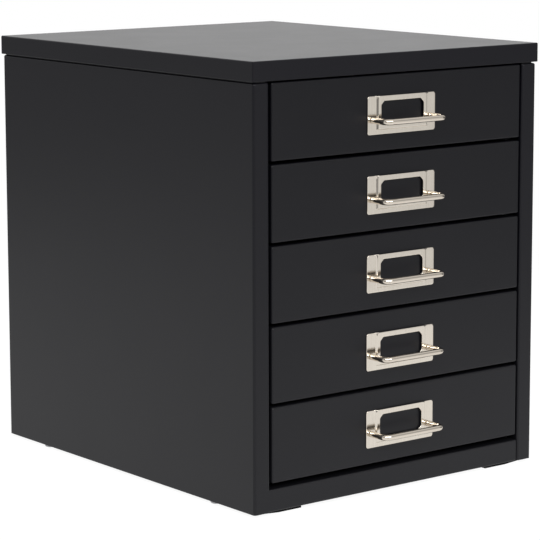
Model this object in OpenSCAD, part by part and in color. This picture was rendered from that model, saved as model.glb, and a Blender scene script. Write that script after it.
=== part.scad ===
// Desktop drawer cabinet for paper, folded sheet steel: a lidded carcass with
// five shallow drawers, each with a nickel label plate and a wire pull.
// Millimetres. Origin on the floor under the middle of the outer box.
// +Z is up, the drawers open towards -Y.

/* [Cabinet] */
// Width over the lid
cab_w = 274; // [242:1:320]
// Height from the floor to the top of the lid
cab_h = 325; // [315:1:345]
// Depth of the lid, front to back, without the pulls
cab_d = 326; // [322:1:380]
// Depth of the lid's turned-down rim
rim_h = 14.4; // [12:0.1:18]
// Overhang of the lid past the side panels
lid_side = 1.3; // [1.1:0.1:2]
// Sheet thickness of the carcass
sheet = 0.8; // [0.7:0.05:1]
// Width of each front post, measured from the edge of the lid
post_w = 15.4; // [15:0.1:20]
// Gap between the floor and the bottom edge of the panels
lift = 2; // [1.6:0.1:4]
// Open seam between the lid's rim and the body
seam = 1; // [0.6:0.1:1.4]

/* [Drawers] */
// Height of a drawer front
front_h = 55.4; // [54.6:0.1:55.8]
// Distance from one drawer to the next
pitch = 57.8; // [57.2:0.1:58]
// Gap between the lid's rim and the top drawer
top_gap = 1.2; // [1:0.1:2]
// Gap beside a drawer front
side_gap = 2; // [1.8:0.1:3.6]
// Depth of the folded drawer front
front_t = 12; // [10:0.5:12]
// Length of the drawer tray
tray_l = 302; // [290:1:303]
// Height of the drawer tray's walls
tray_h = 48.6; // [46:0.1:49]

/* [Pull and label plate] */
// Distance that the pull stands out from the face of the lid
pull_out = 18.5; // [15:0.5:25]
// Overall width of the pull
pull_w = 60; // [58:0.5:61]
// Thickness of the pull's wire
wire_d = 4.5; // [4:0.1:5]
// Width of the label plate
plate_w = 65; // [63:0.5:70]
// Height of the label plate
plate_h = 28; // [26:0.5:30]
// Width of the label window
window_w = 40.6; // [34:0.2:42]
// Height of the label window
window_h = 16.5; // [12:0.1:17]

/* [Feet] */
// Length of a rubber foot along the front
foot_l = 42; // [30:1:50]
// Depth of a rubber foot, front to back
foot_d = 44; // [30:1:50]
// Diameter of a glide button
glide_d = 8.6; // [6:0.2:12]

/* [Hidden] */
$fn = 48;

steel_black = [0.17, 0.17, 0.18];
steel_drawer = [0.15, 0.15, 0.16];
steel_plain = [0.62, 0.63, 0.64];
nickel = [0.80, 0.76, 0.71];
rubber_black = [0.07, 0.07, 0.075];
nylon_grey = [0.45, 0.45, 0.46];

hw = cab_w / 2;                        // half the lid's width
yf = -(cab_d + pull_out) / 2 + pull_out; // front face of the lid
yb = yf + cab_d;                       // back face of the lid
lid_t = 0.9;                           // lid's sheet
bend = 1;                              // outer radius of a lid fold
sx = hw - lid_side;                    // outer face of a side panel
yp = yf + 1;                           // front face of posts and drawers
ye = yb - 1;                           // rear face of the side panels
rim_z = cab_h - rim_h;                 // lower edge of the rim
zt = cab_h - lid_t;                    // underside of the lid's sheet
px = hw - post_w;                      // inner edge of a post
ret = 12;                              // depth of the folds behind the posts
fl = 12;                               // width of the panels' joining flanges
dx = px - side_gap;                    // half the width of a drawer front
up_d = 8;                              // depth of an upright
up_w = 25;                             // width of an upright
ux = sx - sheet - up_d;                // inner face of an upright
plinth_h = 16.7;                       // height of the plinth's face
step_in = 1.8;                         // how far the side sheets step in under the lid
seam_z = rim_z - seam;                 // top of the body below the seam
ty = yp + front_t;                     // front of a tray
tx = px - 7;                           // outer face of a tray's wall
lip_x = px - 1;                        // outer edge of a tray's lip
tsheet = 0.8;                          // tray's sheet
plate_z = 12.3;                        // label plate's lower edge above the drawer's
plate_t = 0.9;                         // label plate's sheet
raise = 1.2;                           // how far the plate's middle stands forward
raise_x = 24;                          // half the width of the raised middle
pull_z = 22.8;                         // pull's height above the drawer's lower edge
pull_bend = 4.5;                       // pull's bend radius at the wire's middle
stop_y = yf + 60;                      // front stop in the runners

function zb(n) = rim_z - top_gap - front_h - (n - 1) * pitch; // lower edge of drawer n

// ---- shared shapes ----

// box of size [w, d, h] standing on z = 0, its upright and top edges rounded
module lid_solid(w, d, h, r) {
    for (sxx = [-1, 1]) {
        for (syy = [-1, 1]) {
            translate([sxx * (w / 2 - r), syy * (d / 2 - r), 0]) cylinder(r = r, h = h - r);
            translate([sxx * (w / 2 - r), syy * (d / 2 - r), h - r]) sphere(r = r);
        }
        translate([sxx * (w / 2 - r), -(d / 2 - r), h - r]) rotate([-90, 0, 0]) cylinder(r = r, h = d - 2 * r);
    }
    for (syy = [-1, 1])
        translate([-(w / 2 - r), syy * (d / 2 - r), h - r]) rotate([0, 90, 0]) cylinder(r = r, h = w - 2 * r);
    translate([-w / 2, -(d / 2 - r), 0]) cube([w, d - 2 * r, h - r]);
    translate([-(w / 2 - r), -d / 2, 0]) cube([w - 2 * r, d, h - r]);
    translate([-(w / 2 - r), -(d / 2 - r), 0]) cube([w - 2 * r, d - 2 * r, h]);
}

// one straight run of a bent strip, between a and b, t thick, cut back at its bends
module run(a, b, t, cut_a, cut_b) {
    l = norm(b - a);
    u = (b - a) / l;
    translate(a + u * cut_a) rotate(atan2(u[1], u[0])) translate([0, -t / 2]) square([l - cut_a - cut_b, t]);
}

// quarter ring that turns from direction u to direction v at corner c
module elbow(c, u, v, r, t) {
    m = c - u * r + v * r;
    q = u - v; // points from the ring's middle to the corner
    translate(m) intersection() {
        difference() {
            circle(r = r + t / 2);
            circle(r = r - t / 2);
        }
        translate([q[0] < 0 ? -(r + t) : 0, q[1] < 0 ? -(r + t) : 0]) square(r + t);
    }
}

// strip bent at right angles along the points p, t thick, bends of middle radius r
module bent_strip(p, t, r) {
    n = len(p);
    for (i = [0 : n - 2])
        run(p[i], p[i + 1], t, i == 0 ? 0 : r, i == n - 2 ? 0 : r);
    for (i = [1 : n - 2]) {
        u = (p[i] - p[i - 1]) / norm(p[i] - p[i - 1]);
        v = (p[i + 1] - p[i]) / norm(p[i + 1] - p[i]);
        elbow(p[i], u, v, r, t);
    }
}

// rectangle with round corners, centred on x, standing on y = 0
module round_rect(w, h, r) {
    translate([-w / 2 + r, 0]) square([w - 2 * r, h]);
    translate([-w / 2, r]) square([w, h - 2 * r]);
    for (x = [-w / 2 + r, w / 2 - r])
        for (y = [r, h - r])
            translate([x, y]) circle(r = r);
}

// draws a shape made in (x, z) as a slab from y to y + t
module slab_y(y, t) {
    translate([0, y + t, 0]) rotate([90, 0, 0]) linear_extrude(height = t) children();
}

// ---- carcass ----

module top_lid() {
    color(steel_black)
    translate([0, (yf + yb) / 2, 0])
    difference() {
        translate([0, 0, rim_z]) lid_solid(cab_w, cab_d, rim_h, bend);
        translate([-hw + lid_t, -cab_d / 2 + lid_t, rim_z - 1])
            cube([cab_w - 2 * lid_t, cab_d - 2 * lid_t, rim_h - lid_t + 1]);
    }
}

// side panel on the left, with its post, return, rear flange, top and bottom flanges;
// at the seam the sheet steps inwards, and its upper part stands inside the lid
module side_panel() {
    h = sheet / 2;
    k = step_in;
    color(steel_black) {
        translate([0, 0, lift]) linear_extrude(height = seam_z - lift)
            bent_strip([[-px - h, yp + ret], [-px - h, yp + h], [-sx + h, yp + h],
                        [-sx + h, ye - h], [-sx + sheet + fl, ye - h]], sheet, 1.6);
        translate([0, 0, seam_z - sheet]) linear_extrude(height = zt - seam_z + sheet)
            bent_strip([[-px - h, yp + ret], [-px - h, yp + k + h], [-sx + k + h, yp + k + h],
                        [-sx + k + h, ye - h], [-sx + sheet + fl, ye - h]], sheet, 1.2);
        // ledge of the step
        translate([0, 0, seam_z - sheet]) linear_extrude(height = sheet)
            difference() {
                union() {
                    translate([-sx, yp]) square([k + sheet, ye - yp]);
                    translate([-sx, yp]) square([sx - px, k + sheet]);
                }
                for (y = [yp, ye])
                    difference() {
                        translate([-sx - 1, y < 0 ? y - 1 : y - 2]) square(3);
                        translate([-sx + 2, y < 0 ? y + 2 : y - 2]) circle(r = 2);
                    }
            }
        translate([-sx + h, yp + 1.6, lift]) cube([fl + h, ye - yp - 3.2, sheet]);
        translate([-sx + k + h, yp + k + 1.6, zt - sheet]) cube([fl - k + h, ye - yp - k - 3.2, sheet]);
    }
}

module left_side_panel() { side_panel(); }
module right_side_panel() { mirror([1, 0, 0]) side_panel(); }

module back_panel() {
    color(steel_black)
    translate([-sx + sheet + step_in + 1, ye - 2 * sheet, lift + sheet]) cube([2 * (sx - sheet - step_in - 1), sheet, zt - lift - 2 * sheet]);
}

// floor sheet with its long edges turned up, notched round the posts' returns
module base_panel() {
    w = sx - sheet;
    color(steel_black)
    difference() {
        translate([0, ye - 2 * sheet, 0]) rotate([90, 0, 0]) linear_extrude(height = ye - yp - 4 * sheet - 0.8)
            bent_strip([[-w + sheet / 2, lift + sheet + 8.8], [-w + sheet / 2, lift + 1.5 * sheet],
                        [w - sheet / 2, lift + 1.5 * sheet], [w - sheet / 2, lift + sheet + 8.8]], sheet, 0.8);
        for (s = [-1, 1])
            translate([s * (px + sheet / 2) - sheet / 2 - 0.4, yp, lift]) cube([sheet + 0.8, ret + 0.4, 6]);
    }
}

// channel rail that stands between the posts, its open side towards the back
module rail(z0, z1, depth) {
    w = px - 0.4;
    color(steel_black)
    translate([-w, 0, 0]) rotate([90, 0, 90]) linear_extrude(height = 2 * w)
        bent_strip([[yp + sheet + depth, z0 + sheet / 2], [yp + 1.5 * sheet, z0 + sheet / 2],
                    [yp + 1.5 * sheet, z1 - sheet / 2], [yp + sheet + depth, z1 - sheet / 2]], sheet, 1);
}

module front_plinth() { rail(lift, lift + plinth_h, 12); }
module top_front_rail() { rail(rim_z + 0.8, zt, 14); }

// hat-section strip behind the post or at the back, on the left side panel
module upright(y0) {
    z0 = lift + sheet + 9.2;
    x = -sx + sheet;
    h = sheet / 2;
    color(steel_plain)
    translate([0, 0, z0]) linear_extrude(height = seam_z - sheet - 0.4 - z0)
        bent_strip([[x + h, y0], [x + h, y0 + 6], [x + up_d - h, y0 + 6], [x + up_d - h, y0 + up_w - 6],
                    [x + h, y0 + up_w - 6], [x + h, y0 + up_w]], sheet, 0.8);
}

front_up_y = yp + ret + 1;
rear_up_y = ye - 2 * sheet - 15 - up_w;

module upright_front_left() { upright(front_up_y); }
module upright_front_right() { mirror([1, 0, 0]) upright(front_up_y); }
module upright_rear_left() { upright(rear_up_y); }
module upright_rear_right() { mirror([1, 0, 0]) upright(rear_up_y); }

run_y0 = yp + 15;
run_y1 = ye - 2 * sheet - 14;
lip_z = 1.6 + tray_h; // top of a tray's lip above the drawer's lower edge

// channel on the left that holds the lip of drawer n, with its front stop
module runner(n) {
    z0 = zb(n) + lip_z - 0.8 - 0.4; // top of the ledge
    h = sheet / 2;
    color(steel_plain) {
        translate([0, run_y1, 0]) rotate([90, 0, 0]) linear_extrude(height = run_y1 - run_y0)
            bent_strip([[-tx - 1.2, z0 - h], [-ux + h, z0 - h], [-ux + h, z0 + 5.8], [-tx - 1.2, z0 + 5.8]], sheet, 0.8);
        translate([-ux + h, stop_y, z0 - h]) cube([ux - px - 0.2 - h, 1.6, 5.8]);
    }
}

module runner_1_left() { runner(1); }
module runner_1_right() { mirror([1, 0, 0]) runner(1); }
module runner_2_left() { runner(2); }
module runner_2_right() { mirror([1, 0, 0]) runner(2); }
module runner_3_left() { runner(3); }
module runner_3_right() { mirror([1, 0, 0]) runner(3); }
module runner_4_left() { runner(4); }
module runner_4_right() { mirror([1, 0, 0]) runner(4); }
module runner_5_left() { runner(5); }
module runner_5_right() { mirror([1, 0, 0]) runner(5); }

// heads of the rivets that hold the runners to the uprights, two on each runner
module runner_rivets() {
    color(steel_plain)
    for (s = [-1, 1]) for (n = [1 : 5]) for (y = [front_up_y + up_w / 2, rear_up_y + up_w / 2])
        translate([s * (ux - sheet), y, zb(n) + lip_z + 1.8]) rotate([0, -s * 90, 0]) cylinder(d = 3.6, h = 0.9);
}

// rubber buffers on the back panel, two behind each drawer
module rear_buffers() {
    y1 = ye - 2 * sheet;
    y0 = ty + tray_l + 0.3;
    color(rubber_black)
    for (s = [-1, 1]) for (n = [1 : 5])
        translate([s * 84, y1, zb(n) + 22]) rotate([90, 0, 0]) {
            cylinder(d = 14, h = 2.5);
            cylinder(d = 9, h = y1 - y0);
        }
}

// foot at the front left: flat where it stands, sloped up towards the outside
module foot() {
    x0 = -sx + 3;
    color(rubber_black)
    translate([0, yp + 3 + foot_d, 0]) rotate([90, 0, 0]) linear_extrude(height = foot_d)
        polygon([[x0, lift], [x0, lift - 0.4], [x0 + 0.5 * foot_l, 0], [x0 + foot_l, 0], [x0 + foot_l, lift]]);
}

module at_back() { translate([0, yp + ye, 0]) mirror([0, 1, 0]) children(); }

module foot_front_left() { foot(); }
module foot_front_right() { mirror([1, 0, 0]) foot(); }
module foot_rear_left() { at_back() foot(); }
module foot_rear_right() { at_back() mirror([1, 0, 0]) foot(); }

// small domed glides stuck under the side panels' flanges, behind each foot
module glide_buttons() {
    r = glide_d / 2;
    color(nylon_grey)
    for (s = [-1, 1]) for (y = [yp + 3 + foot_d + r + 0.6, ye - 3 - foot_d - r - 0.6])
        translate([s * (sx - r - 0.6), y, 0]) {
            translate([0, 0, 0.6]) cylinder(r = r, h = lift - 0.6);
            cylinder(r1 = r - 0.8, r2 = r, h = 0.6);
        }
}

// ---- drawers ----

// folded drawer front of drawer n, open at the back with a narrow return
module front(n) {
    hx = pull_w / 2 - wire_d / 2;
    color(steel_drawer)
    difference() {
        translate([0, yp + front_t, zb(n) + front_h / 2]) rotate([90, 0, 0]) lid_solid(2 * dx, front_h, front_t, 1.5);
        translate([-dx + sheet, yp + sheet, zb(n) + sheet]) cube([2 * (dx - sheet), front_t - 2 * sheet, front_h - 2 * sheet]);
        translate([-dx + 7, yp + front_t - 2, zb(n) + 7]) cube([2 * (dx - 7), 4, front_h - 14]);
        for (s = [-1, 1])
            translate([s * hx, yp + 2, zb(n) + pull_z]) rotate([90, 0, 0]) cylinder(d = 3.1, h = 4);
    }
}

// tray of drawer n: floor, four walls, a lip each side and its stop lug at the back
module tray(n) {
    z0 = zb(n) + 1.6;
    color(steel_drawer) {
        difference() {
            translate([-tx, ty, z0]) cube([2 * tx, tray_l, tray_h]);
            translate([-tx + tsheet, ty + tsheet, z0 + tsheet]) cube([2 * (tx - tsheet), tray_l - 2 * tsheet, tray_h]);
        }
        for (s = [-1, 1]) {
            translate([s < 0 ? -lip_x : tx - tsheet, ty, z0 + tray_h - tsheet]) cube([lip_x - tx + tsheet, tray_l, tsheet]);
            translate([s < 0 ? -ux + 2.6 : lip_x - 1, ty + tray_l - 8, z0 + tray_h - tsheet]) cube([ux - 2.6 - lip_x + 1, 6, tsheet]);
        }
    }
}

// label plate of drawer n: flat side strips, middle folded forward, window in it
module label_plate(n) {
    hx = pull_w / 2 - wire_d / 2;
    z0 = zb(n) + plate_z;
    fz = 3.4; // height of the flat strip under the raised middle
    wz = 7.7; // window's lower edge above the plate's
    ch = 2.8; // window's cut corners
    ww = window_w / 2;
    color(nickel)
    difference() {
        union() {
            // flat rim of the plate, on the drawer
            difference() {
                translate([0, 0, z0]) slab_y(yp - plate_t, plate_t) round_rect(plate_w, plate_h, 1.8);
                translate([-raise_x + plate_t, yp - 2, z0 + fz + plate_t]) cube([2 * (raise_x - plate_t), 4, plate_h]);
            }
            // folds and raised middle
            difference() {
                translate([-raise_x, yp - plate_t - raise, z0 + fz]) cube([2 * raise_x, plate_t + raise, plate_h - fz]);
                translate([-raise_x + plate_t, yp - raise, z0 + fz + plate_t]) cube([2 * (raise_x - plate_t), 4, plate_h]);
            }
        }
        translate([0, 0, z0 + wz]) slab_y(yp - 4, 6)
            polygon([[-ww + ch, 0], [ww - ch, 0], [ww, ch], [ww, window_h - ch], [ww - ch, window_h],
                     [-ww + ch, window_h], [-ww, window_h - ch], [-ww, ch]]);
        for (s = [-1, 1])
            translate([s * hx, yp + 2, zb(n) + pull_z]) rotate([90, 0, 0]) cylinder(d = 3.1, h = 6);
    }
}

// wire pull of drawer n: bent wire, its thinner ends peened behind the drawer front
module pull(n) {
    r = wire_d / 2;
    hx = pull_w / 2 - r;
    yc = yf - pull_out + r;
    yr = yp - plate_t; // face that the arms butt against
    color(nickel)
    translate([0, 0, zb(n) + pull_z]) {
        for (s = [-1, 1]) {
            translate([s * hx, yc + pull_bend, 0]) rotate([-90, 0, 0]) cylinder(d = wire_d, h = yr - yc - pull_bend);
            translate([s * hx, yr - 1, 0]) rotate([-90, 0, 0]) cylinder(d = 3, h = plate_t + sheet + 1);
            translate([s * hx, yp + sheet, 0]) rotate([-90, 0, 0]) cylinder(d = 5, h = 0.9);
        }
        translate([-hx + pull_bend, yc, 0]) rotate([0, 90, 0]) cylinder(d = wire_d, h = 2 * (hx - pull_bend));
        translate([-hx + pull_bend, yc + pull_bend, 0]) rotate([0, 0, 180])
            rotate_extrude(angle = 90) translate([pull_bend, 0]) circle(r = r);
        translate([hx - pull_bend, yc + pull_bend, 0]) rotate([0, 0, 270])
            rotate_extrude(angle = 90) translate([pull_bend, 0]) circle(r = r);
    }
}

module drawer_1_front() { front(1); }
module drawer_1_tray() { tray(1); }
module drawer_1_label_plate() { label_plate(1); }
module drawer_1_pull() { pull(1); }
module drawer_2_front() { front(2); }
module drawer_2_tray() { tray(2); }
module drawer_2_label_plate() { label_plate(2); }
module drawer_2_pull() { pull(2); }
module drawer_3_front() { front(3); }
module drawer_3_tray() { tray(3); }
module drawer_3_label_plate() { label_plate(3); }
module drawer_3_pull() { pull(3); }
module drawer_4_front() { front(4); }
module drawer_4_tray() { tray(4); }
module drawer_4_label_plate() { label_plate(4); }
module drawer_4_pull() { pull(4); }
module drawer_5_front() { front(5); }
module drawer_5_tray() { tray(5); }
module drawer_5_label_plate() { label_plate(5); }
module drawer_5_pull() { pull(5); }

top_lid();
left_side_panel();
right_side_panel();
back_panel();
base_panel();
front_plinth();
top_front_rail();
upright_front_left();
upright_front_right();
upright_rear_left();
upright_rear_right();
runner_1_left();
runner_1_right();
runner_2_left();
runner_2_right();
runner_3_left();
runner_3_right();
runner_4_left();
runner_4_right();
runner_5_left();
runner_5_right();
runner_rivets();
rear_buffers();
foot_front_left();
foot_front_right();
foot_rear_left();
foot_rear_right();
glide_buttons();
drawer_1_front();
drawer_1_tray();
drawer_1_label_plate();
drawer_1_pull();
drawer_2_front();
drawer_2_tray();
drawer_2_label_plate();
drawer_2_pull();
drawer_3_front();
drawer_3_tray();
drawer_3_label_plate();
drawer_3_pull();
drawer_4_front();
drawer_4_tray();
drawer_4_label_plate();
drawer_4_pull();
drawer_5_front();
drawer_5_tray();
drawer_5_label_plate();
drawer_5_pull();
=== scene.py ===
import math

import bmesh
import bpy
from mathutils import Matrix, Vector, geometry


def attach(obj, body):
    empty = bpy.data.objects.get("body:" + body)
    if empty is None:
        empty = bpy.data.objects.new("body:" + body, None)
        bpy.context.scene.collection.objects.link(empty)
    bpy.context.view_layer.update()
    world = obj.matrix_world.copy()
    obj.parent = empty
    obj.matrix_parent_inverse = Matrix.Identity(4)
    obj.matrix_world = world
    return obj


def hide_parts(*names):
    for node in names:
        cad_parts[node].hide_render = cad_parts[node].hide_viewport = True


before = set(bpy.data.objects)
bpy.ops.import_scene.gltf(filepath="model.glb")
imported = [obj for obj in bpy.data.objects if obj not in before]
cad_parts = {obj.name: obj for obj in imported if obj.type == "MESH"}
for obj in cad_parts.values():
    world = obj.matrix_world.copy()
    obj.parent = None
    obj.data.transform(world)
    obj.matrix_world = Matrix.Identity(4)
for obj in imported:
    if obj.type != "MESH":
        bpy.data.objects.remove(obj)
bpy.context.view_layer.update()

MM = 0.001

# ---------------------------------------------------------------- sizes, millimetres, as in the frame
W, H, D = 274.0, 325.0, 326.0
RIM, LID_SIDE, SHEET, POST, LIFT = 14.4, 1.3, 0.8, 15.4, 2.0
SEAM, STEP_IN = 1.0, 1.8
FRONT_H, PITCH, TOP_GAP, SIDE_GAP, FRONT_T = 55.4, 57.8, 1.2, 2.0, 12.0
TRAY_L, TRAY_H = 302.0, 48.6
PULL_OUT, PULL_W, WIRE = 18.5, 60.0, 4.5
PLATE_W, PLATE_H, WIN_W, WIN_H = 65.0, 28.0, 40.6, 16.5
HW = W / 2
YF = -(D + PULL_OUT) / 2 + PULL_OUT
YB = YF + D
LID_T = 0.9
SX = HW - LID_SIDE
YP, YE = YF + 1, YB - 1
RIM_Z, ZT = H - RIM, H - LID_T
SEAM_Z = RIM_Z - SEAM
PX = HW - POST
RET = FL = 12.0
DX = PX - SIDE_GAP
UP_D, UP_W = 8.0, 25.0
UX = SX - SHEET - UP_D
PLINTH_H = 16.7
TY = YP + FRONT_T
TX = PX - 7
LIP_X = PX - 1
PLATE_Z, PLATE_T, RAISE, RAISE_X, FOLD_Z = 12.3, 0.9, 1.2, 24.0, 3.4
PULL_Z, PULL_BEND = 22.8, 4.5
STOP_Y = YF + 60
FRONT_UP_Y = YP + RET + 1
REAR_UP_Y = YE - 2 * SHEET - 15 - UP_W
RUN_Y0, RUN_Y1 = YP + 15, YE - 2 * SHEET - 14
LIP_Z = 1.6 + TRAY_H


def zb(n):
    return RIM_Z - TOP_GAP - FRONT_H - (n - 1) * PITCH


# ---------------------------------------------------------------- materials
def node_tree(name):
    m = bpy.data.materials.new(name)
    m.use_nodes = True
    nt = m.node_tree
    nt.nodes.clear()
    out = nt.nodes.new("ShaderNodeOutputMaterial")
    bsdf = nt.nodes.new("ShaderNodeBsdfPrincipled")
    nt.links.new(bsdf.outputs[0], out.inputs[0])
    return m, nt, bsdf


def object_coords(nt, scale):
    tc = nt.nodes.new("ShaderNodeTexCoord")
    mp = nt.nodes.new("ShaderNodeMapping")
    mp.inputs["Scale"].default_value = scale
    nt.links.new(tc.outputs["Object"], mp.inputs["Vector"])
    return mp.outputs[0]


def noise(nt, vec, scale, detail=2.0, rough=0.5, dist=0.0):
    n = nt.nodes.new("ShaderNodeTexNoise")
    n.inputs["Scale"].default_value = scale
    n.inputs["Detail"].default_value = detail
    n.inputs["Roughness"].default_value = rough
    n.inputs["Distortion"].default_value = dist
    nt.links.new(vec, n.inputs["Vector"])
    return n.outputs["Fac"]


def ramp(nt, fac, stops):
    r = nt.nodes.new("ShaderNodeValToRGB")
    el = r.color_ramp.elements
    while len(el) < len(stops):
        el.new(0.5)
    for e, (p, c) in zip(el, stops):
        e.position = p
        e.color = (*c, 1) if len(c) == 3 else c
    nt.links.new(fac, r.inputs[0])
    return r.outputs[0]


def to_range(nt, fac, lo, hi, a=0.0, b=1.0):
    m = nt.nodes.new("ShaderNodeMapRange")
    m.inputs["From Min"].default_value = a
    m.inputs["From Max"].default_value = b
    m.inputs["To Min"].default_value = lo
    m.inputs["To Max"].default_value = hi
    nt.links.new(fac, m.inputs["Value"])
    return m.outputs[0]


def mixed(nt, a, b, fac):
    m = nt.nodes.new("ShaderNodeMix")
    m.data_type = "FLOAT"
    m.inputs[0].default_value = fac
    nt.links.new(a, m.inputs[2])
    nt.links.new(b, m.inputs[3])
    return m.outputs[0]


def bump(nt, height, strength, dist, bsdf):
    b = nt.nodes.new("ShaderNodeBump")
    b.inputs["Strength"].default_value = strength
    b.inputs["Distance"].default_value = dist
    nt.links.new(height, b.inputs["Height"])
    nt.links.new(b.outputs[0], bsdf.inputs["Normal"])
    return b


def powder_coat(name, dark, light, rough, spec):
    """Satin powder coat on steel: orange peel, a finer grain in it, slow drifts in tone and gloss, and painted shading:
    the tone is lighter towards the bottom and darker towards the top, as a painted reflection of the floor.
    """
    m, nt, b = node_tree(name)
    v = object_coords(nt, (1, 1, 1))
    sep = nt.nodes.new("ShaderNodeSeparateXYZ")
    nt.links.new(v, sep.inputs[0])
    # painted reflection and shade: by object height the base tone is lighter towards the bottom, where the floor's
    # reflection falls, and darker towards the top
    height = to_range(nt, sep.outputs["Z"], 1.0, 0.0, 0.02, 0.325)
    drift = noise(nt, v, 9.0, 3.0, 0.6)
    nt.links.new(ramp(nt, mixed(nt, height, drift, 0.3), [(0.1, dark), (0.9, light)]), b.inputs["Base Color"])
    grain = noise(nt, v, 1900.0, 2.0, 0.5)
    peel = noise(nt, v, 620.0, 2.0, 0.45)
    cloud = noise(nt, v, 24.0, 4.0, 0.65)
    nt.links.new(to_range(nt, mixed(nt, cloud, grain, 0.6), rough - 0.025, rough + 0.025, 0.3, 0.7), b.inputs["Roughness"])
    bump(nt, mixed(nt, peel, grain, 0.35), 0.22, 0.00006, b)
    b.inputs["Specular IOR Level"].default_value = spec
    b.inputs["Metallic"].default_value = 0.0
    return m


def nickel(name, dark, light, gloss, spread, lines, grain):
    """Nickel plate over a brushed or drawn surface: fine lines set by grain, faint blots, uneven gloss."""
    m, nt, b = node_tree(name)
    streak = object_coords(nt, grain)
    fine = noise(nt, streak, 1.0, 4.0, 0.6)
    v = object_coords(nt, (1, 1, 1))
    blot = noise(nt, v, 160.0, 3.0, 0.6)
    nt.links.new(ramp(nt, mixed(nt, fine, blot, 0.35), [(0.32, dark), (0.68, light)]), b.inputs["Base Color"])
    nt.links.new(to_range(nt, mixed(nt, fine, blot, 0.4), gloss - spread, gloss + spread, 0.3, 0.7), b.inputs["Roughness"])
    bump(nt, fine, lines, 0.00003, b)
    b.inputs["Metallic"].default_value = 1.0
    return m


def zinc_sheet(name):
    """Zinc-plated sheet: faint rolled grain and dull patches."""
    m, nt, b = node_tree(name)
    roll = object_coords(nt, (700.0, 30.0, 700.0))
    grain = noise(nt, roll, 1.0, 3.0, 0.55)
    v = object_coords(nt, (1, 1, 1))
    patch = noise(nt, v, 70.0, 4.0, 0.6)
    nt.links.new(ramp(nt, mixed(nt, patch, grain, 0.35), [(0.3, (0.40, 0.41, 0.42)), (0.7, (0.60, 0.61, 0.62))]), b.inputs["Base Color"])
    nt.links.new(to_range(nt, patch, 0.34, 0.55, 0.3, 0.7), b.inputs["Roughness"])
    bump(nt, grain, 0.12, 0.00003, b)
    b.inputs["Metallic"].default_value = 1.0
    return m


def moulded(name, dark, light, rough, scale, spec):
    """Moulded rubber or plastic with a fine eroded skin."""
    m, nt, b = node_tree(name)
    v = object_coords(nt, (1, 1, 1))
    skin = noise(nt, v, scale, 3.0, 0.6)
    slow = noise(nt, v, scale * 0.05, 3.0, 0.6)
    nt.links.new(ramp(nt, slow, [(0.3, dark), (0.7, light)]), b.inputs["Base Color"])
    nt.links.new(to_range(nt, skin, rough - 0.08, rough + 0.08, 0.3, 0.7), b.inputs["Roughness"])
    bump(nt, skin, 0.25, 0.00008, b)
    b.inputs["Specular IOR Level"].default_value = spec
    return m


M_CARC = powder_coat("carcass_powder_coat", (0.0013, 0.0012, 0.0034), (0.0056, 0.0056, 0.0072), 0.40, 0.24)
M_DRAW = powder_coat("drawer_powder_coat", (0.0013, 0.0013, 0.0028), (0.0056, 0.0056, 0.0072), 0.40, 0.24)
M_PLATE = nickel("brushed_nickel", (0.625, 0.573, 0.503), (0.690, 0.639, 0.565), 0.12, 0.03, 0.10, (1300.0, 1300.0, 30.0))
M_WIRE = nickel("bright_nickel", (0.610, 0.548, 0.472), (0.675, 0.612, 0.532), 0.085, 0.02, 0.04, (8.0, 8.0, 2600.0))
M_ZINC = zinc_sheet("zinc_sheet")
M_RUB = moulded("black_rubber", (0.0020, 0.0020, 0.0023), (0.0036, 0.0036, 0.0040), 0.78, 1500.0, 0.10)
M_NYL = moulded("grey_plastic", (0.26, 0.26, 0.27), (0.34, 0.34, 0.35), 0.45, 1200.0, 0.35)


# ---------------------------------------------------------------- mesh tools
class Shape:
    """Vertices and faces of one piece, in millimetres."""

    def __init__(self):
        self.v, self.f = [], []

    def add(self, verts, faces):
        k = len(self.v)
        self.v += [tuple(p) for p in verts]
        self.f += [tuple(i + k for i in f) for f in faces]
        return self

    def mirrored_x(self):
        s = Shape()
        s.v = [(-x, y, z) for x, y, z in self.v]
        s.f = [tuple(reversed(f)) for f in self.f]
        return s


def build(name, shape, mat, body, nodes, bevel=0.12, seg=2, merge=True):
    me = bpy.data.meshes.new(name)
    me.from_pydata([(x * MM, y * MM, z * MM) for x, y, z in shape.v], [], shape.f)
    bm = bmesh.new()
    bm.from_mesh(me)
    if merge:
        bmesh.ops.remove_doubles(bm, verts=bm.verts, dist=2e-7)
    bmesh.ops.dissolve_degenerate(bm, edges=bm.edges, dist=1e-8)
    bmesh.ops.recalc_face_normals(bm, faces=bm.faces)
    for f in bm.faces:
        f.smooth = True
    bm.to_mesh(me)
    bm.free()
    me.materials.append(mat)
    ob = bpy.data.objects.new(name, me)
    bpy.context.scene.collection.objects.link(ob)
    if bevel:
        b = ob.modifiers.new("soft_edges", "BEVEL")
        b.width = bevel * MM
        b.segments = seg
        b.limit_method = "ANGLE"
        b.angle_limit = math.radians(42)
        b.use_clamp_overlap = True
        b.harden_normals = True
    w = ob.modifiers.new("face_normals", "WEIGHTED_NORMAL")
    w.mode = "FACE_AREA"
    w.keep_sharp = True
    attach(ob, body)
    if nodes:
        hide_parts(*nodes)
    return ob


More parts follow.
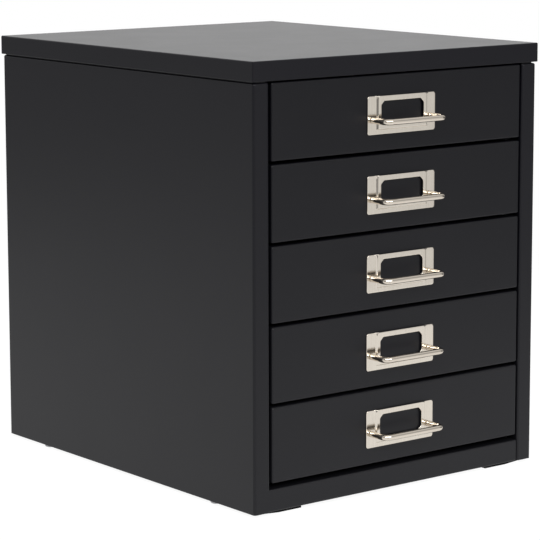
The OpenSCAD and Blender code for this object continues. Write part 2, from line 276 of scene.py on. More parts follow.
def bent(pts, t, r, seg=6):
    """Left and right edges of a strip t thick along the points, its bends of middle radius r."""
    P = [Vector(p) for p in pts]
    L, R = [], []

    def put(c, n):
        L.append(c + n * (t / 2))
        R.append(c - n * (t / 2))

    u = (P[1] - P[0]).normalized()
    put(P[0], Vector((-u.y, u.x)))
    for i in range(1, len(P) - 1):
        a, b = (P[i] - P[i - 1]).normalized(), (P[i + 1] - P[i]).normalized()
        turn = math.atan2(a.x * b.y - a.y * b.x, a.dot(b))
        cut = r * math.tan(abs(turn) / 2)
        start = P[i] - a * cut
        side = 1 if turn > 0 else -1
        centre = start + Vector((-a.y, a.x)) * r * side
        for k in range(seg + 1):
            ang = turn * k / seg
            d = Vector((a.x * math.cos(ang) - a.y * math.sin(ang), a.x * math.sin(ang) + a.y * math.cos(ang)))
            n = Vector((-d.y, d.x))
            put(centre - n * r * side, n)
    u = (P[-1] - P[-2]).normalized()
    put(P[-1], Vector((-u.y, u.x)))
    return L, R


def strip(L, R, place, a, b, cuts=()):
    """Solid between heights a and b on the strip's two edges; place(x, y, h) gives the point in space."""
    s = Shape()
    n = len(L)
    hs = [a, *cuts, b]
    for h in hs:
        s.v += [tuple(place(p.x, p.y, h)) for p in L] + [tuple(place(p.x, p.y, h)) for p in R]
    m = 2 * n
    for k in range(len(hs) - 1):
        o, q = k * m, (k + 1) * m
        for i in range(n - 1):
            s.f.append((o + i, o + i + 1, q + i + 1, q + i))
            s.f.append((o + n + i + 1, o + n + i, q + n + i, q + n + i + 1))
        s.f.append((o + n - 1, o + 2 * n - 1, q + 2 * n - 1, q + n - 1))
        s.f.append((o + n, o, q, q + n))
    for o in (0, (len(hs) - 1) * m):
        for i in range(n - 1):
            s.f.append((o + i, o + i + 1, o + n + i + 1, o + n + i))
    return s


def block(x0, x1, y0, y1, z0, z1):
    s = Shape()
    s.v = [(x, y, z) for z in (z0, z1) for x, y in ((x0, y0), (x1, y0), (x1, y1), (x0, y1))]
    s.f = [(0, 3, 2, 1), (4, 5, 6, 7), (0, 1, 5, 4), (1, 2, 6, 5), (2, 3, 7, 6), (3, 0, 4, 7)]
    return s


def join(*shapes):
    s = Shape()
    for q in shapes:
        s.add(q.v, q.f)
    return s


def rounded_loop(w, d, r, inset, seg=6):
    """Rounded rectangle, w by d less the inset on every side, counter-clockwise."""
    hw, hd, r = w / 2 - inset, d / 2 - inset, max(r - inset, 0.03)
    pts = []
    for cx, cy, a0 in ((hw - r, hd - r, 0), (-hw + r, hd - r, 90), (-hw + r, -hd + r, 180), (hw - r, -hd + r, 270)):
        for k in range(seg + 1):
            a = math.radians(a0 + 90 * k / seg)
            pts.append((cx + r * math.cos(a), cy + r * math.sin(a)))
    return pts


def loft(loops, cap_start=False, cap_end=False, closed=False):
    """Quads between loops of equally many 3-D points."""
    s = Shape()
    n = len(loops[0])
    for lp in loops:
        s.v += [tuple(p) for p in lp]
    for k in range(len(loops) - 1 + (1 if closed else 0)):
        o, q = k * n, ((k + 1) % len(loops)) * n
        for i in range(n):
            j = (i + 1) % n
            s.f.append((o + i, o + j, q + j, q + i))
    if cap_start:
        s.f.append(tuple(reversed(range(n))))
    if cap_end:
        s.f.append(tuple(range((len(loops) - 1) * n, len(loops) * n)))
    return s


def lathe(profile, centre, axis, seg=32):
    """Solid of revolution: profile is (radius, along) from one end to the other, closed at both ends on the axis."""
    ax = Vector(axis).normalized()
    u = ax.orthogonal().normalized()
    w = ax.cross(u)
    c = Vector(centre)
    s = Shape()
    rings = []
    for r, h in profile:
        if r < 1e-6:
            rings.append([len(s.v)])
            s.v.append(tuple(c + ax * h))
        else:
            rings.append(list(range(len(s.v), len(s.v) + seg)))
            for k in range(seg):
                a = 2 * math.pi * k / seg
                s.v.append(tuple(c + ax * h + (u * math.cos(a) + w * math.sin(a)) * r))
    for A, B in zip(rings, rings[1:]):
        for k in range(seg):
            j = (k + 1) % seg
            if len(A) == 1 and len(B) > 1:
                s.f.append((A[0], B[j], B[k]))
            elif len(B) == 1 and len(A) > 1:
                s.f.append((A[k], A[j], B[0]))
            elif len(A) > 1:
                s.f.append((A[k], A[j], B[j], B[k]))
    return s


def arc(c, r, a0, a1, n):
    return [(c[0] + r * math.cos(math.radians(a0 + (a1 - a0) * k / n)), c[1] + r * math.sin(math.radians(a0 + (a1 - a0) * k / n))) for k in range(n + 1)]


# ---------------------------------------------------------------- carcass
def make_lid():
    cy = (YF + YB) / 2
    r = 1.0

    def lp(inset, z):
        return [(x, y + cy, z) for x, y in rounded_loop(W, D, r, inset, 6)]

    # the rim's lower edge is rounded over the whole thickness of the sheet
    e = LID_T / 2
    loops = [lp(e * (1 - math.cos(math.radians(a))), RIM_Z + e - e * math.sin(math.radians(a))) for a in (90, 70, 50, 30, 12, 0)]
    loops += [lp(i, z) for i, z in arc((r, H - r), r, 180, 90, 8)]
    loops += [lp(4.0, H)]
    s = loft(loops, cap_end=True)
    inner = [lp(LID_T - e * (1 - math.cos(math.radians(a))), RIM_Z + e - e * math.sin(math.radians(a))) for a in (90, 65, 35, 0)]
    inner += [lp(i, z) for i, z in arc((LID_T + 0.5, ZT - 0.5), 0.5, 180, 90, 5)]
    inner += [lp(4.0, ZT)]
    t = loft(inner, cap_end=True)
    s.add(t.v, [tuple(reversed(f)) for f in t.f])
    return build("lid_shell", s, M_CARC, "cabinet", ["top_lid"], bevel=0)


def side_shape():
    """Side sheet with its post, return and rear flange; its top edge rolls over into the step under the lid."""
    h = SHEET / 2
    roll = 1.3

    def edges(k):
        return bent([(-PX - h, YP + RET), (-PX - h, YP + k + h), (-SX + k + h, YP + k + h), (-SX + k + h, YE - h), (-SX + SHEET + FL, YE - h)], SHEET, 1.6, 8)

    wall_in, step_in = edges(0)[1], edges(STEP_IN)[1]
    levels = [(LIFT, 0.0, wall_in), (SEAM_Z - roll - 1.4, 0.0, wall_in), (SEAM_Z - roll - 1.0, 0.0, step_in)]
    levels += [(z, k, step_in) for k, z in arc((roll, SEAM_Z - roll), roll, 180, 90, 7)]
    levels += [(SEAM_Z, STEP_IN, step_in), (ZT, STEP_IN, step_in)]
    s = Shape()
    n = len(wall_in)
    for z, k, inner in levels:
        s.v += [(p.x, p.y, z) for p in edges(k)[0]] + [(p.x, p.y, z) for p in inner]
    m = 2 * n
    for j in range(len(levels) - 1):
        o, q = j * m, (j + 1) * m
        for i in range(n - 1):
            s.f.append((o + i, o + i + 1, q + i + 1, q + i))
            s.f.append((o + n + i + 1, o + n + i, q + n + i, q + n + i + 1))
        s.f.append((o + n - 1, o + 2 * n - 1, q + 2 * n - 1, q + n - 1))
        s.f.append((o + n, o, q, q + n))
    for o in (0, (len(levels) - 1) * m):
        for i in range(n - 1):
            s.f.append((o + i, o + i + 1, o + n + i + 1, o + n + i))
    # joining flanges along the top and bottom edges, folded inwards
    low = block(-SX + SHEET, -SX + SHEET + FL, YP + 1.9, YE - 1.9, LIFT, LIFT + SHEET)
    top = block(-SX + STEP_IN + SHEET, -SX + SHEET + FL, YP + STEP_IN + 1.9, YE - 1.9, ZT - SHEET, ZT)
    return join(s, low, top)


def make_sides():
    s = side_shape()
    build("side_shell_left", s, M_CARC, "cabinet", ["left_side_panel"], bevel=0.14, merge=False)
    build("side_shell_right", s.mirrored_x(), M_CARC, "cabinet", ["right_side_panel"], bevel=0.14, merge=False)


def make_back():
    w = SX - SHEET - STEP_IN - 1
    y0 = YE - 2 * SHEET
    s = block(-w, w, y0, y0 + SHEET, LIFT + SHEET, ZT - SHEET)
    build("back_sheet", s, M_CARC, "cabinet", ["back_panel"], bevel=0.15)


def make_base():
    w = SX - SHEET
    h = SHEET / 2
    y0, y1 = YP + 2 * SHEET + 0.8, YP + RET + 0.4
    L, R = bent([(-w + h, LIFT + SHEET + 8.8), (-w + h, LIFT + 3 * h), (w - h, LIFT + 3 * h), (w - h, LIFT + SHEET + 8.8)], SHEET, 0.8, 5)
    s = strip(L, R, lambda x, z, y: (x, y, z), y1, YE - 2 * SHEET)
    # tongues beside and between the posts' returns
    L, R = bent([(-w + h, LIFT + SHEET + 8.8), (-w + h, LIFT + 3 * h), (-PX - SHEET - 0.4, LIFT + 3 * h)], SHEET, 0.8, 5)
    side = strip(L, R, lambda x, z, y: (x, y, z), y0, y1 + 0.2)
    mid = block(-PX + 0.4, PX - 0.4, y0, y1 + 0.2, LIFT + SHEET, LIFT + 2 * SHEET)
    build("base_sheet", join(s, side, side.mirrored_x(), mid), M_CARC, "cabinet", ["base_panel"], bevel=0.14, merge=False)


def make_rail(name, node, z0, z1, depth, back, x0, x1, bevel):
    h = SHEET / 2
    y0 = YP + back
    L, R = bent([(y0 + depth, z0 + h), (y0 + h, z0 + h), (y0 + h, z1 - h), (y0 + depth, z1 - h)], SHEET, 0.7, 6)
    s = strip(L, R, lambda y, z, x: (x, y, z), x0, x1)
    build(name, s, M_CARC, "cabinet", [node], bevel=bevel)


def make_uprights():
    h = SHEET / 2
    x = -SX + SHEET
    z0 = LIFT + SHEET + 9.2
    for y0, where in ((FRONT_UP_Y, "front"), (REAR_UP_Y, "rear")):
        L, R = bent([(x + h, y0), (x + h, y0 + 6), (x + UP_D - h, y0 + 6), (x + UP_D - h, y0 + UP_W - 6), (x + h, y0 + UP_W - 6), (x + h, y0 + UP_W)], SHEET, 0.8, 4)
        s = strip(L, R, lambda a, b, z: (a, b, z), z0, SEAM_Z - SHEET - 0.4)
        build(f"upright_strip_{where}_left", s, M_ZINC, "cabinet", [f"upright_{where}_left"], bevel=0.12)
        build(f"upright_strip_{where}_right", s.mirrored_x(), M_ZINC, "cabinet", [f"upright_{where}_right"], bevel=0.12)


def make_runners():
    h = SHEET / 2
    for n in range(1, 6):
        z0 = zb(n) + LIP_Z - 0.8 - 0.4
        L, R = bent([(-TX - 1.2, z0 - h), (-UX + h, z0 - h), (-UX + h, z0 + 5.8), (-TX - 1.2, z0 + 5.8)], SHEET, 0.8, 5)
        s = strip(L, R, lambda x, z, y: (x, y, z), RUN_Y0, RUN_Y1)
        stop = block(-UX + SHEET, -PX - 0.2, STOP_Y, STOP_Y + 1.6, z0, z0 + 5.4)
        s = join(s, stop)
        build(f"runner_channel_{n}_left", s, M_ZINC, "cabinet", [f"runner_{n}_left"], bevel=0.12, merge=False)
        build(f"runner_channel_{n}_right", s.mirrored_x(), M_ZINC, "cabinet", [f"runner_{n}_right"], bevel=0.12, merge=False)
    s = Shape()
    prof = [(0, 0), (1.8, 0)] + [(r, z) for r, z in arc((1.15, 0.25), 0.65, 0, 90, 5)] + [(0, 0.9)]
    for sg in (-1, 1):
        for n in range(1, 6):
            for y in (FRONT_UP_Y + UP_W / 2, REAR_UP_Y + UP_W / 2):
                q = lathe(prof, (sg * (UX - SHEET), y, zb(n) + LIP_Z + 1.8), (-sg, 0, 0), 20)
                s.add(q.v, q.f)
    build("rivet_heads", s, M_ZINC, "cabinet", ["runner_rivets"], bevel=0, merge=False)


def make_buffers():
    y1 = YE - 2 * SHEET
    y0 = TY + TRAY_L + 0.3
    l = y1 - y0
    prof = [(0, 0), (7, 0), (7, 1.9)] + [(r, z) for r, z in arc((6.4, 1.9), 0.6, 0, 90, 4)] + [(5.1, 2.5), (4.6, 2.9), (4.5, 3.6)]
    prof += [(4.5, l - 1.4)] + [(r, z) for r, z in arc((3.3, l - 1.2), 1.2, 0, 90, 6)] + [(0, l)]
    s = Shape()
    for sg in (-1, 1):
        for n in range(1, 6):
            q = lathe(prof, (sg * 84, y1, zb(n) + 22), (0, -1, 0), 28)
            s.add(q.v, q.f)
    build("buffer_plugs", s, M_RUB, "cabinet", ["rear_buffers"], bevel=0, merge=False)


def make_feet():
    x0 = -SX + 3
    fl, fd = 42.0, 44.0
    prof = [(x0, LIFT), (x0, LIFT - 0.4), (x0 + 0.5 * fl, 0.0), (x0 + fl, 0.0), (x0 + fl, LIFT)]

    def foot(y0, y1):
        s = Shape()
        n = len(prof)
        s.v = [(x, y0, z) for x, z in prof] + [(x, y1, z) for x, z in prof]
        s.f = [tuple(range(n)), tuple(reversed(range(n, 2 * n)))]
        s.f += [(i, (i + 1) % n, n + (i + 1) % n, n + i) for i in range(n)]
        return s

    for where, y0 in (("front", YP + 3), ("rear", YE - 3 - fd)):
        s = foot(y0, y0 + fd)
        build(f"foot_pad_{where}_left", s, M_RUB, "cabinet", [f"foot_{where}_left"], bevel=0.2, seg=3)
        build(f"foot_pad_{where}_right", s.mirrored_x(), M_RUB, "cabinet", [f"foot_{where}_right"], bevel=0.2, seg=3)
    r = 4.3
    prof2 = [(0, 0), (r - 1.6, 0.0)] + [(a, z) for a, z in arc((r - 1.4, 1.4), 1.4, -80, 0, 6)] + [(r, LIFT), (0, LIFT)]
    s = Shape()
    for sg in (-1, 1):
        for y in (YP + 3 + fd + r + 0.6, YE - 3 - fd - r - 0.6):
            q = lathe(prof2, (sg * (SX - r - 0.6), y, 0), (0, 0, 1), 32)
            s.add(q.v, q.f)
    build("glide_domes", s, M_NYL, "cabinet", ["glide_buttons"], bevel=0, merge=False)


# ---------------------------------------------------------------- drawers
def make_front(n):
    cz = zb(n) + FRONT_H / 2
    r = 1.4
    w, h = 2 * DX, FRONT_H

    def lp(inset, y, rr=r):
        return [(x, y, z + cz) for x, z in rounded_loop(w, h, rr, inset, 5)]

    y0, y1 = YP, YP + FRONT_T
    loops = [lp(6.0, y0)]
    loops += [lp(i, y) for i, y in arc((r, y0 + r), r, 270, 180, 7)]
    loops += [lp(i, y) for i, y in arc((0.9, y1 - 0.9), 0.9, 180, 90, 5)]
    loops += [lp(6.9, y1), lp(7.0, y1 - 0.1), lp(7.0, y1 - 0.7), lp(6.9, y1 - SHEET)]
    loops += [lp(1.2, y1 - SHEET), lp(0.8, y1 - 1.2), lp(0.8, y0 + 1.5), lp(1.5, y0 + SHEET), lp(6.0, y0 + SHEET)]
    s = loft(loops, cap_start=True, cap_end=True)
    build(f"drawer_{n}_front_shell", s, M_DRAW, f"drawer_{n}", [f"drawer_{n}_front"], bevel=0)


def make_tray(n):
    z0 = zb(n) + 1.6
    zt = z0 + TRAY_H
    h = SHEET / 2
    L, R = bent([(-LIP_X, zt - h), (-TX + h, zt - h), (-TX + h, z0 + h), (TX - h, z0 + h), (TX - h, zt - h), (LIP_X, zt - h)], SHEET, 1.0, 5)
    body = strip(L, R, lambda x, z, y: (x, y, z), TY, TY + TRAY_L)
    # end walls with flanges folded along the side walls
    w = TX - SHEET
    ends = []
    for a, b in ((TY + h, TY + 10), (TY + TRAY_L - h, TY + TRAY_L - 10)):
        L, R = bent([(-w + h, b), (-w + h, a), (w - h, a), (w - h, b)], SHEET, 1.0, 5)
        ends.append(strip(L, R, lambda x, y, z: (x, y, z), z0 + SHEET, zt - 0.1))
    lug = block(-UX + 2.6, -LIP_X + 0.1, TY + TRAY_L - 8, TY + TRAY_L - 2, zt - SHEET, zt)
    s = join(body, *ends, lug, lug.mirrored_x())
    build(f"drawer_{n}_tray_shell", s, M_DRAW, f"drawer_{n}", [f"drawer_{n}_tray"], bevel=0.12, merge=False)


def smooth(t):
    t = min(1.0, max(0.0, t))
    return t * t * (3 - 2 * t)


def offset_loop(pts, d):
    """Counter-clockwise loop moved inwards by d."""
    out = []
    n = len(pts)
    for i in range(n):
        p, a, b = Vector(pts[i]), Vector(pts[i - 1]), Vector(pts[(i + 1) % n])
        u, v = (p - a).normalized(), (b - p).normalized()
        nu, nv = Vector((-u.y, u.x)), Vector((-v.y, v.x))
        m = (nu + nv).normalized()
        out.append(tuple(p + m * (d / max(0.3, m.dot(nu)))))
    return out


def dense(pts, step):
    """Loop with extra points, so that no side is longer than step."""
    out = []
    n = len(pts)
    for i in range(n):
        a, b = Vector(pts[i]), Vector(pts[(i + 1) % n])
        k = max(1, math.ceil((b - a).length / step))
        out += [tuple(a.lerp(b, j / k)) for j in range(k)]
    return out


def plate_outline():
    pts = [(x, z + PLATE_H / 2) for x, z in rounded_loop(PLATE_W, PLATE_H, 1.8, 0, 6)]
    return dense(pts, 1.6)


def window_outline():
    c, w, h, z = 2.8, WIN_W / 2, WIN_H, 7.7
    base = [(-w + c, 0), (w - c, 0), (w, c), (w, h - c), (w - c, h), (-w + c, h), (-w, h - c), (-w, c)]
    # every corner gets a small radius
    out = []
    n = len(base)
    for i in range(n):
        p, a, b = Vector(base[i]), Vector(base[i - 1]), Vector(base[(i + 1) % n])
        s0, s1 = p + (a - p).normalized() * 0.7, p + (b - p).normalized() * 0.7
        for k in range(5):
            t = k / 4
            out.append(tuple(s0.lerp(p, t).lerp(p.lerp(s1, t), t)))
    return dense([(x, q + z) for x, q in out], 1.6)


FOOT_R, EDGE_R, SLOPE = 0.3, 0.9, math.radians(60)
WALL = (RAISE - (FOOT_R + EDGE_R) * (1 - math.cos(SLOPE))) / math.sin(SLOPE)
FOLD_RUN = (FOOT_R + EDGE_R) * math.sin(SLOPE) + WALL * math.cos(SLOPE)


def fold(d):
    """Height of the pressed fold at a distance d inwards from its foot."""
    a, b = FOOT_R * math.sin(SLOPE), FOLD_RUN - EDGE_R * math.sin(SLOPE)
    if d <= 0:
        return 0.0
    if d < a:
        return FOOT_R - math.sqrt(FOOT_R ** 2 - d * d)
    if d < b:
        return FOOT_R * (1 - math.cos(SLOPE)) + (d - a) * math.tan(SLOPE)
    if d < FOLD_RUN:
        return RAISE - EDGE_R + math.sqrt(EDGE_R ** 2 - (FOLD_RUN - d) ** 2)
    return RAISE


def lift_at(x, z):
    """How far the plate's middle stands forward at a point of the plate."""
    return min(fold(RAISE_X + 0.3 - abs(x)), fold(z - FOLD_Z + 0.3))


def plate_shape():
    """The label plate with its lower edge at z = 0 and its back on y = 0."""
    outer, win = plate_outline(), window_outline()
    steps = [(0.28, 0.0), (0.14, 0.035), (0.045, 0.13), (0.0, 0.28)]  # inset, depth of the rolled edge
    o_in = offset_loop(outer, steps[0][0])
    w_in = offset_loop(win, -steps[0][0])
    steps_in = [FOOT_R * math.sin(SLOPE * k / 4) for k in range(5)] + [FOLD_RUN - EDGE_R * math.sin(SLOPE * k / 7) for k in range(7, -1, -1)]
    xs = [s * (RAISE_X + 0.3 - k) for s in (-1, 1) for k in steps_in]
    xs += [-31, -29, -27, -25.4, 25.4, 27, 29, 31] + [x * 2.6 for x in range(-8, 9)]
    zs = [FOLD_Z - 0.3 + k for k in steps_in] + [1.2, 2.2] + [5 + k * 1.7 for k in range(13)] + [27.0]
    pts, edges = list(o_in), []
    n = len(o_in)
    edges += [(i, (i + 1) % n) for i in range(n)]
    k = len(pts)
    pts += w_in
    edges += [(k + i, k + (i + 1) % len(w_in)) for i in range(len(w_in))]

    def inside(p, loop):
        c = False
        j = len(loop) - 1
        for i in range(len(loop)):
            (x0, y0), (x1, y1) = loop[i], loop[j]
            if (y0 > p[1]) != (y1 > p[1]) and p[0] < (x1 - x0) * (p[1] - y0) / (y1 - y0) + x0:
                c = not c
            j = i
        return c

    o2, w2 = offset_loop(o_in, 0.25), offset_loop(w_in, -0.25)
    for x in sorted(set(round(v, 4) for v in xs)):
        for z in sorted(set(round(v, 4) for v in zs)):
            if inside((x, z), o2) and not inside((x, z), w2):
                pts.append((x, z))
    res = geometry.delaunay_2d_cdt([Vector(p) for p in pts], edges, [], 1, 1e-6)
    vs, orig = res[0], res[3]
    fs = []
    for f in res[2]:
        m = sum((vs[i] for i in f), Vector((0, 0))) / len(f)
        if inside(m, o_in) and not inside(m, w_in):
            fs.append(f)
    s = Shape()
    nv = len(vs)
    for v in vs:
        s.v.append((v.x, -PLATE_T - lift_at(v.x, v.y), v.y))
    for v in vs:
        s.v.append((v.x, -lift_at(v.x, v.y), v.y))
    for f in fs:
        s.f.append(tuple(f))
        s.f.append(tuple(nv + i for i in reversed(f)))
    # rolled edges: rings from the front face round to the back face
    where = {}
    for new, olds in enumerate(orig):
        for o in olds:
            where[o] = new
    for loop, base, sign in ((outer, 0, 1), (win, len(o_in), -1)):
        m = len(loop)
        rings = [[where[base + i] for i in range(m)]]
        for inset, dep in steps[1:]:
            lp = offset_loop(loop, sign * inset)
            k = len(s.v)
            s.v += [(x, -PLATE_T - lift_at(x, z) + dep, z) for x, z in lp]
            rings.append(list(range(k, k + m)))
        for inset, dep in reversed(steps[1:]):
            lp = offset_loop(loop, sign * inset)
            k = len(s.v)
            s.v += [(x, -lift_at(x, z) - dep, z) for x, z in lp]
            rings.append(list(range(k, k + m)))
        rings.append([nv + where[base + i] for i in range(m)])
        for A, B in zip(rings, rings[1:]):
            for i in range(m):
                j = (i + 1) % m
                s.f.append((A[i], A[j], B[j], B[i]))
    return s


PLATE = plate_shape()


def make_plate(n):
    s = Shape()
    z0 = zb(n) + PLATE_Z
    s.v = [(x, y + YP, z + z0) for x, y, z in PLATE.v]
    s.f = list(PLATE.f)
    build(f"drawer_{n}_label_frame", s, M_PLATE, f"drawer_{n}", [f"drawer_{n}_label_plate"], bevel=0)


def make_pull(n):
    r = WIRE / 2
    hx = PULL_W / 2 - r
    yc = YF - PULL_OUT + r
    yr = YP - PLATE_T
    z = zb(n) + PULL_Z
    path = []  # (point, tangent, radius)

    def arm(sg, out):
        # one arm from the plate outwards, or back
        pts = []
        for d, rr in ((0.0, r), (1, r), (3, r), (6, r), (9, r)):
            y = yr - d
            if y > yc + PULL_BEND + 0.2:
                pts.append((Vector((sg * hx, y, z)), Vector((0, -1 if out else 1, 0)), rr))
        return pts if out else pts[::-1]
    path += arm(-1, True)
    c = Vector((-hx + PULL_BEND, yc + PULL_BEND, z))
    for k in range(13):
        a = math.radians(180 + 90 * k / 12)
        path.append((c + Vector((math.cos(a), math.sin(a), 0)) * PULL_BEND, Vector((-math.sin(a), math.cos(a), 0)), r))
    for k in range(1, 12):
        path.append((Vector((-hx + PULL_BEND + (2 * hx - 2 * PULL_BEND) * k / 12, yc, z)), Vector((1, 0, 0)), r))
    c = Vector((hx - PULL_BEND, yc + PULL_BEND, z))
    for k in range(13):
        a = math.radians(270 + 90 * k / 12)
        path.append((c + Vector((math.cos(a), math.sin(a), 0)) * PULL_BEND, Vector((-math.sin(a), math.cos(a), 0)), r))
    path += arm(1, False)
    seg = 28
    loops = []
    for p, t, rr in path:
        side = Vector((-t.y, t.x, 0))
        loops.append([tuple(p + side * rr * math.cos(2 * math.pi * k / seg) + Vector((0, 0, rr * math.sin(2 * math.pi * k / seg)))) for k in range(seg)])
    s = loft(loops, cap_start=True, cap_end=True)
    # peened ends behind the drawer front
    head = [(0, 0), (2.5, 0)] + arc((1.9, 0.3), 0.6, 0, 90, 4) + [(0, 0.9)]
    for sg in (-1, 1):
        q = lathe(head, (sg * hx, YP + SHEET, z), (0, 1, 0), 20)
        s.add(q.v, q.f)
        q = lathe([(0, 0), (1.5, 0), (1.5, PLATE_T + SHEET), (0, PLATE_T + SHEET)], (sg * hx, yr, z), (0, 1, 0), 20)
        s.add(q.v, q.f)
    build(f"drawer_{n}_wire_pull", s, M_WIRE, f"drawer_{n}", [f"drawer_{n}_pull"], bevel=0, merge=False)


make_lid()
make_sides()
make_back()
make_base()
# the plinth lies flush between the posts, tight against the left one, with a narrow gap at the right one
make_rail("plinth_rail", "front_plinth", LIFT + 0.25, LIFT + PLINTH_H, 12.8, 0.02, -PX - 1.9, PX - 1.4, 0.04)
make_rail("head_rail", "top_front_rail", RIM_Z + 0.8, ZT, 14, SHEET, -PX + 0.4, PX - 0.4, 0.14)
make_uprights()
make_runners()
make_buffers()
make_feet()
for n in range(1, 6):
    make_front(n)
    make_tray(n)
    make_plate(n)
    make_pull(n)


# ---------------------------------------------------------------- stage, light, camera
def stage_material():
    m, nt, b = node_tree("pale_floor")
    v = object_coords(nt, (1, 1, 1))
    n1 = noise(nt, v, 3.0, 3.0, 0.5)
    nt.links.new(ramp(nt, n1, [(0.3, (0.11, 0.11, 0.11)), (0.7, (0.13, 0.13, 0.13))]), b.inputs["Base Color"])
    b.inputs["Roughness"].default_value = 0.9
    b.inputs["Specular IOR Level"].default_value = 0.0
    b.inputs["Emission Color"].default_value = (1, 1, 1, 1)
    b.inputs["Emission Strength"].default_value = FLOOR_GLOW
    mid = nt.nodes.new("ShaderNodeVectorMath")
    mid.operation = "ADD"
    mid.inputs[1].default_value = (0.4, 0.0, 0.0)
    nt.links.new(v, mid.inputs[0])
    ln = nt.nodes.new("ShaderNodeVectorMath")
    ln.operation = "LENGTH"
    nt.links.new(mid.outputs[0], ln.inputs[0])
    far = nt.nodes.new("ShaderNodeMapRange")
    far.interpolation_type = "SMOOTHSTEP"
    for k, val in (("From Min", 0.85), ("From Max", 1.45), ("To Min", 1.0), ("To Max", 0.0)):
        far.inputs[k].default_value = val
    nt.links.new(ln.outputs["Value"], far.inputs["Value"])
    nt.links.new(far.outputs[0], b.inputs["Alpha"])
    return m


FLOOR_GLOW = 0.92
# Studio light: brightness by compass direction, from the front (0) towards the right (90), at three
# elevations; the sweep stands behind (120 to 165), a lit floor lies in front and on the right (20 to 40).
BELOW = {-146: 0.28, -110: 0.7, -75: 0.22, -35: 0.25, 0: 0.4, 22: 0.96, 40: 0.96, 60: 0.14, 90: 0.0, 165: 0.0}
LOW = {-146: 0.6, -110: 1.15, -75: 0.25, -35: 0.0, 0: 0.2, 22: 0.9, 40: 0.8, 60: 0.04, 90: 0.4, 120: 1.28, 142: 1.24, 165: 0.73}
MIDDLE = {-146: 0.85, -110: 0.9, -75: 0.2, -35: 0.0, 0: 0.1, 40: 0.45, 60: 0.3, 90: 0.5, 120: 1.36, 142: 1.74, 165: 1.25}
CEILING, SOFTBOX = 0.8, 8.0

fm = bpy.data.meshes.new("floor")
fm.from_pydata([(-2.4, -2.4, 0), (2.4, -2.4, 0), (2.4, 2.4, 0), (-2.4, 2.4, 0)], [], [(0, 1, 2, 3)])
fm.materials.append(stage_material())
floor = bpy.data.objects.new("floor", fm)
bpy.context.scene.collection.objects.link(floor)

world = bpy.data.worlds.new("studio")
bpy.context.scene.world = world
world.use_nodes = True
wt = world.node_tree
wt.nodes.clear()


def w_node(kind, **props):
    n = wt.nodes.new(kind)
    for k, v in props.items():
        setattr(n, k, v)
    return n


def w_range(src, a, b, lo, hi):
    """Smooth change of brightness with direction; lo and hi are numbers or sockets."""
    n = w_node("ShaderNodeMapRange", interpolation_type="SMOOTHSTEP")
    n.inputs["From Min"].default_value = a
    n.inputs["From Max"].default_value = b
    for k, v in (("To Min", lo), ("To Max", hi)):
        if isinstance(v, float):
            n.inputs[k].default_value = v
        else:
            wt.links.new(v, n.inputs[k])
    wt.links.new(src, n.inputs["Value"])
    return n.outputs[0]


def w_dot(v):
    n = w_node("ShaderNodeVectorMath", operation="DOT_PRODUCT")
    n.inputs[1].default_value = v
    wt.links.new(w_tc.outputs["Generated"], n.inputs[0])
    return n.outputs["Value"]


def w_math(op, a, b=None):
    n = w_node("ShaderNodeMath", operation=op)
    for k, v in enumerate((a, b)):
        if v is None:
            continue
        if isinstance(v, float):
            n.inputs[k].default_value = v
        else:
            wt.links.new(v, n.inputs[k])
    return n.outputs[0]


def w_light(strength):
    n = w_node("ShaderNodeBackground")
    n.inputs["Color"].default_value = (1, 1, 1, 1)
    if isinstance(strength, float):
        n.inputs["Strength"].default_value = strength
    else:
        wt.links.new(strength, n.inputs["Strength"])
    return n.outputs[0]


def w_blend(fac, a, b):
    n = w_node("ShaderNodeMixShader")
    wt.links.new(fac, n.inputs[0])
    wt.links.new(a, n.inputs[1])
    wt.links.new(b, n.inputs[2])
    return n.outputs[0]


def w_ring(around, table):
    """Brightness round the compass, straight lines between the angles of the table."""
    n = w_node("ShaderNodeValToRGB")
    first, last = min(table), max(table)
    seam = table[last] + (table[first] - table[last]) * (180 - last) / (360 - last + first)
    stops = [(-180, seam)] + sorted(table.items()) + [(180, seam)]
    el = n.color_ramp.elements
    while len(el) < len(stops):
        el.new(0.5)
    for e, (a, v) in zip(el, stops):
        e.position = (a + 180) / 360
        e.color = (v, v, v, 1)
    wt.links.new(around, n.inputs[0])
    return n.outputs[0]


def w_climb(lower, upper, a, b):
    """From one brightness to another between two elevations in degrees."""
    n = w_node("ShaderNodeMapRange")
    n.inputs["From Min"].default_value = a
    n.inputs["From Max"].default_value = b
    for k, v in (("To Min", lower), ("To Max", upper)):
        if isinstance(v, float):
            n.inputs[k].default_value = v
        else:
            wt.links.new(v, n.inputs[k])
    wt.links.new(height, n.inputs["Value"])
    return n.outputs[0]


w_tc = w_node("ShaderNodeTexCoord")
w_sep = w_node("ShaderNodeSeparateXYZ")
wt.links.new(w_tc.outputs["Generated"], w_sep.inputs[0])
up_z = w_sep.outputs["Z"]
height = w_math("MULTIPLY", w_math("ARCSINE", up_z), 180 / math.pi)
around = w_math("ADD", w_math("MULTIPLY", w_math("ARCTAN2", w_sep.outputs["X"], w_math("MULTIPLY", w_sep.outputs["Y"], -1.0)), 0.5 / math.pi), 0.5)
sky = w_climb(w_ring(around, BELOW), w_ring(around, LOW), -12, 6)
sky = w_climb(sky, w_ring(around, MIDDLE), 6, 22)
sky = w_climb(sky, CEILING, 22, 42)
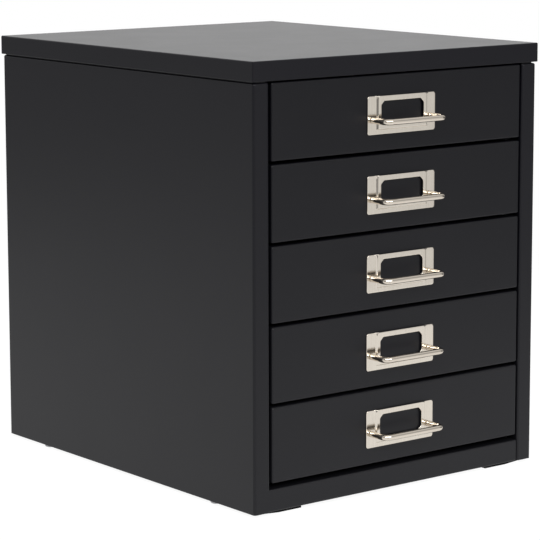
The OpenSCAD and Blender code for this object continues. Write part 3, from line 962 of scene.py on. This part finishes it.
# a wide softbox in two halves in front
ahead, across = w_dot((-0.309, -0.951, 0.0)), w_dot((0.951, -0.309, 0.0))
box = w_math("MULTIPLY", w_range(up_z, 0.30, 0.36, 0.0, 1.0), w_range(up_z, 0.58, 0.64, 1.0, 0.0))
box = w_math("MULTIPLY", box, w_range(w_math("DIVIDE", ahead, w_math("SQRT", w_math("SUBTRACT", 1.0001, w_math("MULTIPLY", up_z, up_z)))), 0.70, 0.80, 0.0, 1.0))
box = w_math("MULTIPLY", box, w_range(w_math("ABSOLUTE", across), 0.02, 0.07, 0.25, 1.0))
sky = w_light(w_math("ADD", sky, w_math("MULTIPLY", box, SOFTBOX)))
w_path = w_node("ShaderNodeLightPath")
sky = w_blend(w_path.outputs["Is Camera Ray"], sky, w_light(1.0))
w_out = w_node("ShaderNodeOutputWorld")
wt.links.new(sky, w_out.inputs[0])


cam_data = bpy.data.cameras.new("camera")
cam = bpy.data.objects.new("camera", cam_data)
bpy.context.scene.collection.objects.link(cam)
bpy.context.scene.camera = cam
cam_data.sensor_width = 36.0
cam_data.sensor_fit = "HORIZONTAL"
F_PX, PY = 2423.5, -0.06
cam_data.lens = F_PX / 540.0 * 36.0
cam_data.shift_x = 0.0
cam_data.shift_y = PY
cam_data.clip_start, cam_data.clip_end = 0.05, 60.0
yaw, pitch, roll = math.radians(38.167), math.radians(8.889), math.radians(-0.131)
fw = Vector((math.sin(yaw) * math.cos(pitch), math.cos(yaw) * math.cos(pitch), -math.sin(pitch)))
rt = Vector((math.cos(yaw), -math.sin(yaw), 0))
up = rt.cross(fw)
r2 = rt * math.cos(roll) + up * math.sin(roll)
u2 = -rt * math.sin(roll) + up * math.cos(roll)
pos = Vector((-1021.3 - HW, -1318.4 + YF, 463.2)) * MM
cam.matrix_world = Matrix(((r2.x, u2.x, -fw.x, pos.x), (r2.y, u2.y, -fw.y, pos.y), (r2.z, u2.z, -fw.z, pos.z), (0, 0, 0, 1)))

bpy.context.scene.view_settings.view_transform = "Standard"
bpy.context.scene.view_settings.look = "None"
bpy.context.scene.view_settings.exposure = 0.0
bpy.context.scene.view_settings.gamma = 1.0
